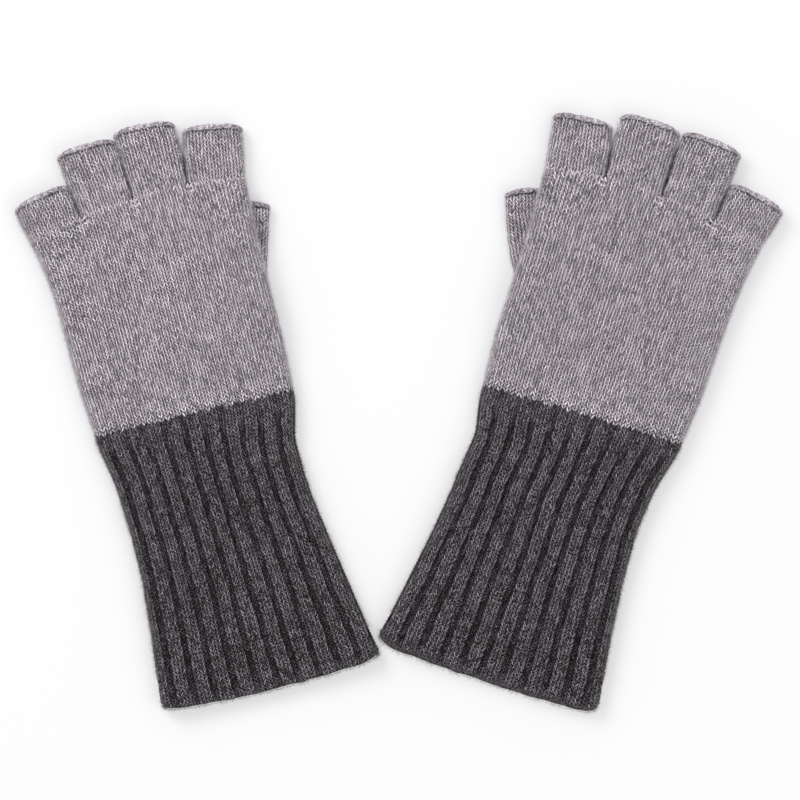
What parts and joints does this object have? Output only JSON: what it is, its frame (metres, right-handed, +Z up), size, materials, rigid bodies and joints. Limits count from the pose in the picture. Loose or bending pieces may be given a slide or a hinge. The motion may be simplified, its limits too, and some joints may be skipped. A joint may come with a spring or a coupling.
{
  "type": "fingerless gloves",
  "caption": "Pair of knitted fingerless gloves: plain heather hands, short open finger and thumb tubes with bound-off edges, and long ribbed cuffs that flare.",
  "frame": {"origin": "under the middle of the pair, on the surface that it lies on", "axes": "+X across the pair, +Y from the cuffs towards the finger tips, +Z up out of the backs of the hands"},
  "size_m": [0.3078, 0.2386, 0.0117],
  "materials": {
    "light_heather_knit": "fine stockinette knit, melange wool",
    "light_heather_bind_off": "bound-off edge of the same melange wool",
    "charcoal_heather_knit": "ribbed knit, melange wool"
  },
  "bodies": {
    "hands": {"left_hand": "light_heather_knit", "right_hand": "light_heather_knit"},
    "left_cuff": {"left_cuff": "charcoal_heather_knit", "left_cuff_welt": "charcoal_heather_knit"},
    "left_little": {"left_little_finger": "light_heather_knit", "left_little_edge": "light_heather_bind_off"},
    "left_ring": {"left_ring_finger": "light_heather_knit", "left_ring_edge": "light_heather_bind_off"},
    "left_middle": {"left_middle_finger": "light_heather_knit", "left_middle_edge": "light_heather_bind_off"},
    "left_index": {"left_index_finger": "light_heather_knit", "left_index_edge": "light_heather_bind_off"},
    "left_thumb": {"left_thumb": "light_heather_knit", "left_thumb_edge": "light_heather_bind_off"},
    "right_cuff": {"right_cuff": "charcoal_heather_knit", "right_cuff_welt": "charcoal_heather_knit"},
    "right_little": {"right_little_finger": "light_heather_knit", "right_little_edge": "light_heather_bind_off"},
    "right_ring": {"right_ring_finger": "light_heather_knit", "right_ring_edge": "light_heather_bind_off"},
    "right_middle": {"right_middle_finger": "light_heather_knit", "right_middle_edge": "light_heather_bind_off"},
    "right_index": {"right_index_finger": "light_heather_knit", "right_index_edge": "light_heather_bind_off"},
    "right_thumb": {"right_thumb": "light_heather_knit", "right_thumb_edge": "light_heather_bind_off"}
  },
  "joints": [
    {"name": "left_cuff_bend", "type": "hinge", "parent": "hands", "child": "left_cuff", "pos_m": [-0.08128, -0.0017, 0.009], "axis": [-0.9732, -0.23, 0], "range_deg": [0, 75]},
    {"name": "left_little_bend", "type": "hinge", "parent": "hands", "child": "left_little", "pos_m": [-0.13804, 0.07253, 0.009], "axis": [0.9041, 0.4274, 0], "range_deg": [0, 80]},
    {"name": "left_ring_bend", "type": "hinge", "parent": "hands", "child": "left_ring", "pos_m": [-0.11714, 0.08131, 0.009], "axis": [0.9379, 0.3469, 0], "range_deg": [0, 80]},
    {"name": "left_middle_bend", "type": "hinge", "parent": "hands", "child": "left_middle", "pos_m": [-0.09546, 0.08832, 0.009], "axis": [0.9636, 0.2672, 0], "range_deg": [0, 80]},
    {"name": "left_index_bend", "type": "hinge", "parent": "hands", "child": "left_index", "pos_m": [-0.07315, 0.09271, 0.009], "axis": [0.993, 0.1184, 0], "range_deg": [0, 80]},
    {"name": "left_thumb_swing", "type": "hinge", "parent": "hands", "child": "left_thumb", "pos_m": [-0.06595, 0.04646, 0.0033], "axis": [0, 0, -1], "range_deg": [-5, 50]},
    {"name": "right_cuff_bend", "type": "hinge", "parent": "hands", "child": "right_cuff", "pos_m": [0.07437, -0.0023, 0.009], "axis": [-0.9588, 0.284, 0], "range_deg": [0, 75]},
    {"name": "right_little_bend", "type": "hinge", "parent": "hands", "child": "right_little", "pos_m": [0.13587, 0.07158, 0.009], "axis": [0.8526, -0.5225, 0], "range_deg": [0, 80]},
    {"name": "right_ring_bend", "type": "hinge", "parent": "hands", "child": "right_ring", "pos_m": [0.11586, 0.08221, 0.009], "axis": [0.91, -0.4147, 0], "range_deg": [0, 80]},
    {"name": "right_middle_bend", "type": "hinge", "parent": "hands", "child": "right_middle", "pos_m": [0.09465, 0.09046, 0.009], "axis": [0.9511, -0.309, 0], "range_deg": [0, 80]},
    {"name": "right_index_bend", "type": "hinge", "parent": "hands", "child": "right_index", "pos_m": [0.0726, 0.09606, 0.009], "axis": [0.9833, -0.1822, 0], "range_deg": [0, 80]},
    {"name": "right_thumb_swing", "type": "hinge", "parent": "hands", "child": "right_thumb", "pos_m": [0.06155, 0.05337, 0.0033], "axis": [0, 0, 1], "range_deg": [-5, 50]}
  ]
}
